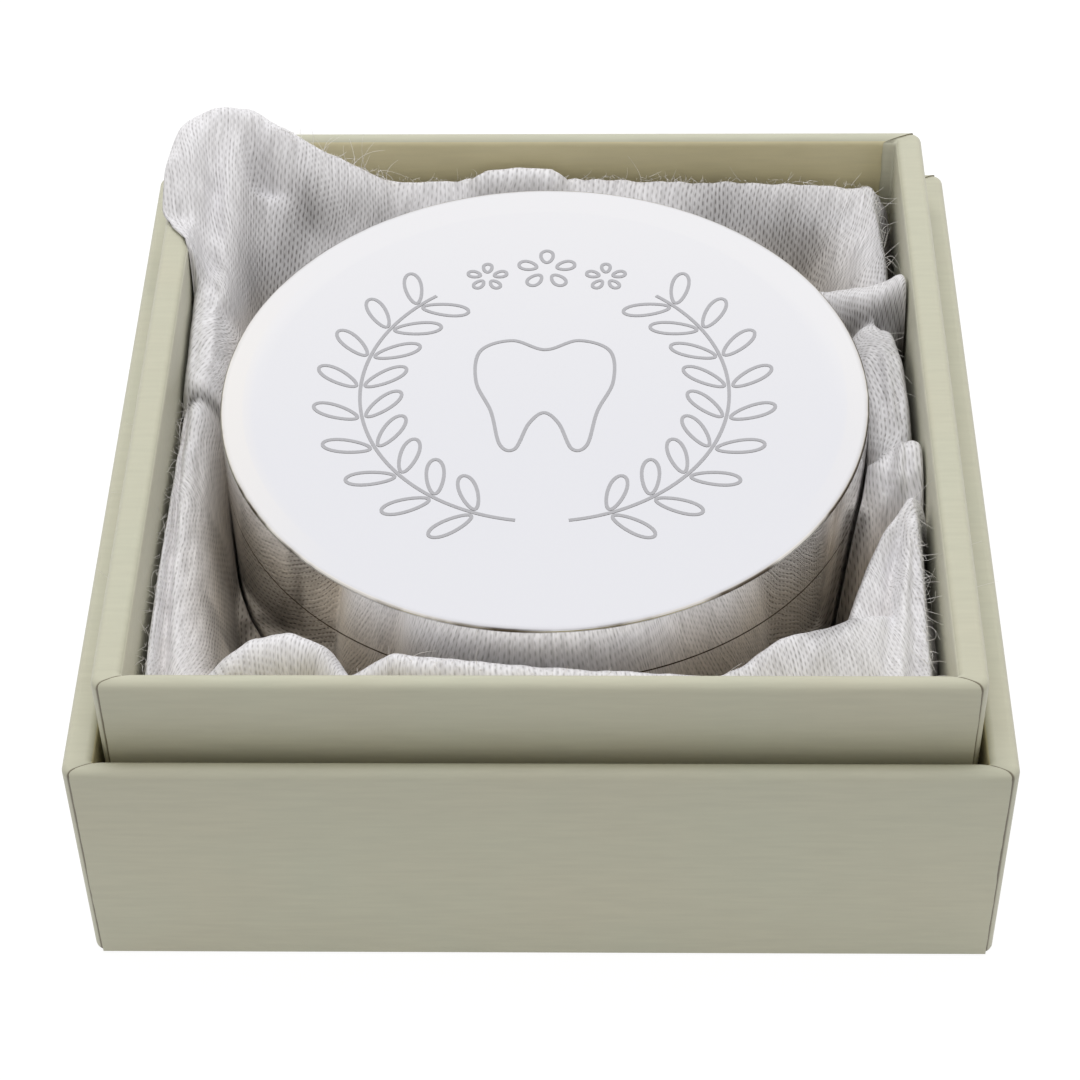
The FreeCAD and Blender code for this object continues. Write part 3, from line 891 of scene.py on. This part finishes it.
def satin_grid():
    """Points of the sheet, a row for each direction from the middle of the box.

    Each row runs out under the box, up beside it, over the folds to the wall, and down behind them. At the
    puffed corner it goes on over the tray's rim, curls in and then down."""
    angle = np.linspace(0, 2 * math.pi, turn_steps, endpoint=False)[:, None]
    degrees = np.degrees(angle)
    across, along = np.cos(angle), np.sin(angle)
    over = ease(*puff_start, degrees) * (1 - ease(*puff_end, degrees))
    inside = square_reach(across, along, side_inside, end_inside, wall_sharpness)
    outside = square_reach(across, along, rim_reach, rim_reach, rim_sharpness)
    edge = inside + (outside - inside) * over
    ring = well_radius + (edge - well_radius) * np.linspace(0, 1, ring_steps)[None, :]
    x, y = ring * across, ring * along
    height = satin_height(x, y) + crumple_rise * crumple(x, crumple_stretch_share * y)
    bent = 1 - np.clip((edge - ring) / edge_round, 0, 1)
    height = height - edge_round * (1 - np.sqrt(1 - edge_bend_share * bent ** 2)) * (1 - over)
    on_rim = (np.abs(x) > side_inside - rim_margin) | (np.abs(y) > end_inside - rim_margin)
    height = np.where(on_rim & (over > puff_least_share), np.maximum(height, rim_rest), height)
    floor = np.linspace(bed_start, well_radius - bed_margin, floor_steps)[None, :] + 0 * angle
    side_share = np.linspace(0, 1, side_steps, endpoint=False)[None, :]
    side = bed_level + (height[:, :1] - bed_level) * side_share
    tuck_reach, tuck_height = tuck_path(edge, inside, height[:, -1:])
    reach = np.concatenate([floor, well_radius + 0 * side, ring, tuck_reach], 1)
    level = np.concatenate([bed_level + 0 * floor, side, height, tuck_height], 1)
    return np.stack([reach * across, reach * along, level], -1)


def smoothed(points):
    """Points averaged with their neighbours: along each row from the top of the side on, and all round."""
    eased = points.copy()
    eased[:, first_ring:-1] = (
        points[:, first_ring - 1:-2] + 2 * points[:, first_ring:-1] + points[:, first_ring + 1:]) / 4
    return (np.roll(eased, 1, 0) + 2 * eased + np.roll(eased, -1, 0)) / 4


def cloth_places(points):
    """Where each point lies in the flat cloth: its length along its row, turned by the length gone round.

    Under the box it lies flat and keeps its places; up the side it goes over from one to the other."""
    steps = np.sqrt(((points[:, 1:] - points[:, :-1]) ** 2).sum(-1))
    run = np.concatenate([np.zeros((len(points), 1)), np.cumsum(steps, 1)], 1)
    reach = well_radius + run - run[:, first_ring:first_ring + 1]
    around = np.sqrt(((np.roll(points, -1, 0) - points) ** 2).sum(-1))[:, first_ring:].mean(1)
    turn = 2 * math.pi * np.cumsum(around) / around.sum()
    reach = reach + around.sum() / (2 * math.pi) - reach[:, first_ring:].mean()
    for _ in range(place_passes):
        reach = (np.roll(reach, 1, 0) + 2 * reach + np.roll(reach, -1, 0)) / 4
    places = np.stack([reach * np.cos(turn)[:, None], reach * np.sin(turn)[:, None]], -1)
    places[:, :floor_steps] = points[:, :floor_steps, :2]
    share = np.linspace(0, 1, side_steps + 1)[:-1, None]
    foot, top = points[:, floor_steps:floor_steps + 1, :2], places[:, first_ring:first_ring + 1]
    places[:, floor_steps:first_ring] = foot + (top - foot) * share
    return places


def unshaded_share(points):
    """How much light painted shade leaves on the cloth, from 0 to 1: less where it is deep beside the box,
    and along the runs of painted shade.

    A run's share falls off from its line as a bell curve."""
    x, y, z = np.moveaxis(points, -1, 0)
    beside_box = np.hypot(x, y) > well_radius + cloth
    unshaded = 1 - deep_shade_share * (1 - ease(deep_foot, deep_top, z)) * beside_box
    for start, end, reach, run_shade_share in PAINTED_SHADE_RUNS:
        _, gap, _ = near_line(x, y, start, end)
        unshaded = unshaded * (1 - run_shade_share * np.exp(-(gap / reach) ** 2))
    return unshaded


def lay_satin():
    """The satin sheet that the round box sits in, closed by a fan at its middle, with its frayed edges."""
    grid = smoothed(satin_grid())
    rows, columns, _ = grid.shape
    middle = rows * columns
    ring = columns * np.arange(rows)
    fan = np.stack([np.full(rows // 2, middle), ring[::2], ring[1::2], np.roll(ring, -2)[::2]], -1)
    faces = np.concatenate([grid_faces(rows, columns, closed=True), fan])
    points = np.concatenate([grid.reshape(-1, 3), [[0, 0, bed_level]]])
    places = np.concatenate([cloth_places(grid).reshape(-1, 2), [[0, 0]]])
    # painted shade, baked into an attribute of the sheet
    unshaded = np.append(unshaded_share(grid), 1)
    sheet = make_piece("satin_sheet", points, faces, [SATIN], "tray", places, unshaded)
    thicken(sheet, cloth)
    fray = fray_edges()
    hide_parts("satin_lining")


# Raw edges that fray: the fold, the count of threads along its crest and their mean length
FRAYS = [
    ("left_raw_edge", 110, 1.7), ("back_right_edge", 40, 1.5), ("back_strip", 220, 0.7),
    ("back_roll", 70, 1.4), ("front_strip", 120, 0.7), ("point_outer", 90, 1.2), ("right_panel", 40, 0.9),
]


def along_crest(crest, shares):
    """Places at shares of the length of a crest line."""
    crest = np.array(crest)[:, :3]
    runs = np.concatenate([[0], np.cumsum(np.linalg.norm(np.diff(crest, axis=0), axis=1))])
    return np.stack([np.interp(shares * runs[-1], runs, crest[:, axis]) for axis in range(3)], -1)


def thread_paths():
    """Points of each loose thread, root to tip: a straight lean, and a bend with the square of the share."""
    rng = np.random.default_rng(fray_seed)
    roots = np.concatenate([
        along_crest(FOLDS[name][1], rng.uniform(0, 1, count)) for name, count, _ in FRAYS])
    length = np.concatenate([
        reach * rng.gamma(length_spread, 1 / length_spread, count) for _, count, reach in FRAYS])
    spread = (len(roots), 3)
    roots = roots + rng.normal(0, root_scatter, spread)
    lean = rng.normal(0, lean_scatter_share, spread) + np.array([0, 0, lean_rise_share])
    lean = unit(lean + roots * np.array([1, 1, 0]) / outward_pull)
    bend = rng.normal(0, bend_scatter_share, spread) - np.array([0, 0, bend_droop_share])
    share = np.linspace(0, 1, thread_steps)[None, :, None]
    return roots[:, None] + length[:, None, None] * (lean[:, None] * share + bend[:, None] * share ** 2)


def fray_edges():
    """Loose threads along the raw edges: a small triangle carried along each path, thinner at the tip."""
    path = thread_paths()
    heading = np.gradient(path, axis=1)
    across = unit(np.cross(heading, thread_crosswise))
    upright = unit(np.cross(heading, across))
    turn = np.linspace(0, 2 * math.pi, thread_sides, endpoint=False)[None, None, :, None]
    share = np.linspace(0, 1, thread_steps)[None, :, None, None]
    size = thread_radius * (1 - thread_taper_share * share)
    ring = np.cos(turn) * across[:, :, None] + np.sin(turn) * upright[:, :, None]
    points = path[:, :, None] + size * ring
    index = np.arange(points.size // 3).reshape(points.shape[:3])
    around = np.roll(index, -1, 2)
    faces = np.stack([index[:, :-1], around[:, :-1], around[:, 1:], index[:, 1:]], -1).reshape(-1, 4)
    return make_piece("satin_fray", points, faces, [YARN], "tray")


# Engraving of the lid

def smooth_loop(corners):
    """A closed curve through corners: between each two, a cubic from its neighbours' directions."""
    corners = np.array(corners, float)
    share = np.linspace(0, 1, loop_steps, endpoint=False)[None, :, None]
    before, here = np.roll(corners, 1, 0)[:, None], corners[:, None]
    after, beyond = np.roll(corners, -1, 0)[:, None], np.roll(corners, -2, 0)[:, None]
    curve = here + 0.5 * share * (after - before) + share ** 2 * (
        before - 2.5 * here + 2 * after - 0.5 * beyond) + 0.5 * share ** 3 * (
        3 * here - before - 3 * after + beyond)
    curve = curve.reshape(-1, 2)
    return np.concatenate([curve, curve[:1]])


def leaf(middle, turn, length, width):
    """A leaf's outline about its middle, turned: an oval, a little fuller towards its tip."""
    around = np.linspace(0, 2 * math.pi, leaf_steps)
    x = length / 2 * np.cos(around)
    y = width / 2 * np.sin(around) * (1 + leaf_tip_share * np.cos(around))
    return np.stack([
        middle[0] + x * math.cos(turn) - y * math.sin(turn),
        middle[1] + x * math.sin(turn) + y * math.cos(turn)], -1)


def flower(middle, size):
    """A flower's outlines: petals in a ring about a middle, each a small leaf that points outwards."""
    turns = np.linspace(0, 2 * math.pi, flower_petals, endpoint=False) + math.pi / 2
    reach = petal_reach_share * size
    return [leaf((middle[0] + reach * math.cos(turn), middle[1] + reach * math.sin(turn)),
                 turn, petal_length_share * size, petal_width_share * size) for turn in turns]


# Corners of the tooth's outline on the lid, and the middle and size of each flower
TOOTH = [
    (0, 6.2), (3.4, 7.6), (6.6, 6.0), (6.9, 1.4), (5.3, -3.0), (4.3, -7.8), (2.8, -8.4), (1.5, -4.8),
    (0, -3.2), (-1.5, -4.8), (-2.8, -8.4), (-4.3, -7.8), (-5.3, -3.0), (-6.9, 1.4), (-6.6, 6.0), (-3.4, 7.6),
]
FLOWERS = [((0, 18.8), 2.9), ((-6.2, 17.6), 2.0), ((6.2, 17.6), 2.0)]


def sprig(side):
    """One branch of the wreath, an arc of stem with leaves in pairs. Side 1 is the right, -1 the left."""
    turns = np.radians(np.linspace(*stem_span, stem_steps))
    strokes = [sprig_radius * np.stack([side * np.cos(turns), np.sin(turns)], -1)]
    reach = leaf_length / 2 + leaf_gap_share * line_width
    for turn in np.radians(np.linspace(*leaf_span, sprig_leaves)):
        for lean in (-1, 1):
            spread = turn + math.pi / 2 + lean * leaf_lean
            stem = sprig_radius * np.array([math.cos(turn), math.sin(turn)])
            middle = stem + reach * np.array([math.cos(spread), math.sin(spread)])
            outline = leaf(middle, spread, leaf_length, leaf_width)
            strokes.append(outline * np.array([side, 1]))
    return strokes


def engrave_lid():
    """A plain wreath round a tooth on the lid: flat lines of even width, let into the plate."""
    strokes = [smooth_loop(TOOTH)] + sprig(1) + sprig(-1)
    for place, size in FLOWERS:
        strokes = strokes + flower(place, size)
    points = []
    faces = []
    start = 0
    for stroke in strokes:
        heading = np.gradient(stroke, axis=0)
        closed = np.allclose(stroke[0], stroke[-1])
        if closed:
            heading[0] = heading[-1] = heading[0] + heading[-1]
        heading = unit(heading)
        across = line_width / 2 * np.stack([-heading[:, 1], heading[:, 0]], -1)
        flat = np.stack([stroke + across, stroke - across], 1)
        level = np.full(flat.shape[:2] + (1,), lid_top + engraved_rise)
        points.append(np.concatenate([flat, level], -1).reshape(-1, 3))
        faces.append(grid_faces(len(stroke), 2)[:, ::-1] + start)
        start += 2 * len(stroke)
    piece = make_piece(
        "lid_engraving", np.concatenate(points), np.concatenate(faces), [ENGRAVED], "lid")
    thicken(piece, engraved_depth)


# Stage

def seen_directly(tree):
    """A 0 or 1 that is 1 for what the camera, metal and glass see."""
    path = add_node(tree, "ShaderNodeLightPath")
    seen = add_node(tree, "ShaderNodeMath", {
        0: path.outputs["Is Camera Ray"], 1: path.outputs["Is Glossy Ray"]}, operation="MAXIMUM")
    return add_node(tree, "ShaderNodeMath", {
        0: seen.outputs[0], 1: path.outputs["Is Transmission Ray"]}, operation="MAXIMUM").outputs[0]


def make_floor():
    """A white floor that keeps the object's shadow and reads as white to the eye and in the metal."""
    points = np.array([(-1, -1, 0), (1, -1, 0), (1, 1, 0), (-1, 1, 0)]) * ground_reach
    points = points - np.array([0, 0, ground_gap])
    mesh = bpy.data.meshes.new("floor")
    mesh.from_pydata((points * MM).tolist(), [], [(0, 1, 2, 3)])
    material = bpy.data.materials.new("white_sweep_paper")
    material.use_nodes = True
    tree = material.node_tree
    tree.nodes.clear()
    share = add_node(tree, "ShaderNodeMath", {0: seen_directly(tree), 1: 0.8}, operation="MULTIPLY")
    matt = add_node(tree, "ShaderNodeBsdfDiffuse", {"Color": linear("#C4C4C4")})
    glow = add_node(tree, "ShaderNodeEmission", {"Color": (1, 1, 1, 1), "Strength": 1.18})
    both = add_node(tree, "ShaderNodeMixShader", {
        0: share.outputs[0], 1: matt.outputs["BSDF"], 2: glow.outputs["Emission"]})
    add_node(tree, "ShaderNodeOutputMaterial", {"Surface": both.outputs["Shader"]})
    mesh.materials.append(material)
    floor = bpy.data.objects.new("floor", mesh)
    scene.collection.objects.link(floor)


def light_stage():
    """White surroundings, warm at the sides with a cooler band over the middle that greys towards the top.

    A soft lamp stands above and behind the object."""
    world = bpy.data.worlds.new("white_studio")
    world.use_nodes = True
    scene.world = world
    tree = world.node_tree
    direction = add_node(tree, "ShaderNodeTexCoord").outputs["Generated"]
    axes = add_node(tree, "ShaderNodeSeparateXYZ", {"Vector": direction})
    sideways = add_node(tree, "ShaderNodeMath", {0: axes.outputs["X"]}, operation="ABSOLUTE")
    sides = add_node(tree, "ShaderNodeMapRange", {
        "Value": sideways.outputs[0], "From Min": 0.16, "From Max": 0.3}, interpolation_type="SMOOTHSTEP")
    low = add_node(tree, "ShaderNodeMapRange", {
        "Value": axes.outputs["Z"], "From Min": 0.7, "From Max": 0.6, "To Max": 0.8},
        interpolation_type="SMOOTHSTEP")
    band = add_node(tree, "ShaderNodeMix", {
        0: low.outputs["Result"], 6: linear("#F2F3FA"), 7: linear("#FBFBFF")}, data_type="RGBA")
    tone = add_node(tree, "ShaderNodeMix", {
        0: sides.outputs["Result"], 6: band.outputs[2], 7: linear("#FEFBF8")}, data_type="RGBA")
    seen = seen_directly(tree)
    colour = add_node(tree, "ShaderNodeMix", {
        0: seen, 6: linear("#FFFDF8"), 7: tone.outputs[2]}, data_type="RGBA")
    level = add_node(tree, "ShaderNodeMapRange", {"Value": seen, "To Min": 0.72, "To Max": 1.0})
    background = tree.nodes["Background"]
    tree.links.new(colour.outputs[2], background.inputs["Color"])
    tree.links.new(level.outputs["Result"], background.inputs["Strength"])
    lamp = bpy.data.lights.new("overhead_softbox", "AREA")
    lamp.shape = "RECTANGLE"
    lamp.size = lamp_width * MM
    lamp.size_y = lamp_depth * MM
    lamp.energy = 4.3
    lamp.color = linear("#FCFDFF")[:3]
    holder = bpy.data.objects.new("overhead_softbox", lamp)
    holder.location = Vector(lamp_place) * MM
    holder.rotation_euler = (-Vector(holder.location)).to_track_quat("-Z", "Y").to_euler()
    holder.visible_glossy = False
    scene.collection.objects.link(holder)


def place_camera():
    """The photograph's view: in front, a little to the right, 45 degrees above the case."""
    pitch, yaw, roll = (math.radians(angle) for angle in camera_angles)
    aim = Vector(camera_aim) * MM
    forward = Vector((math.sin(yaw) * math.cos(pitch), math.cos(yaw) * math.cos(pitch), -math.sin(pitch)))
    right = Vector((math.cos(yaw), -math.sin(yaw), 0))
    up = right.cross(forward)
    across = math.cos(roll) * right + math.sin(roll) * up
    upright = math.cos(roll) * up - math.sin(roll) * right
    data = bpy.data.cameras.new("camera")
    data.sensor_width = camera_sensor
    data.lens = camera_lens
    data.clip_start = camera_nearest * MM
    camera = bpy.data.objects.new("camera", data)
    turn = Matrix((across, upright, -forward)).transposed()
    camera.matrix_world = Matrix.Translation(aim - forward * camera_distance * MM) @ turn.to_4x4()
    scene.collection.objects.link(camera)
    scene.camera = camera


dress_nodes()
cover_walls()
lay_satin()
engrave_lid()
make_floor()
light_stage()
place_camera()
scene.view_settings.view_transform = "Standard"
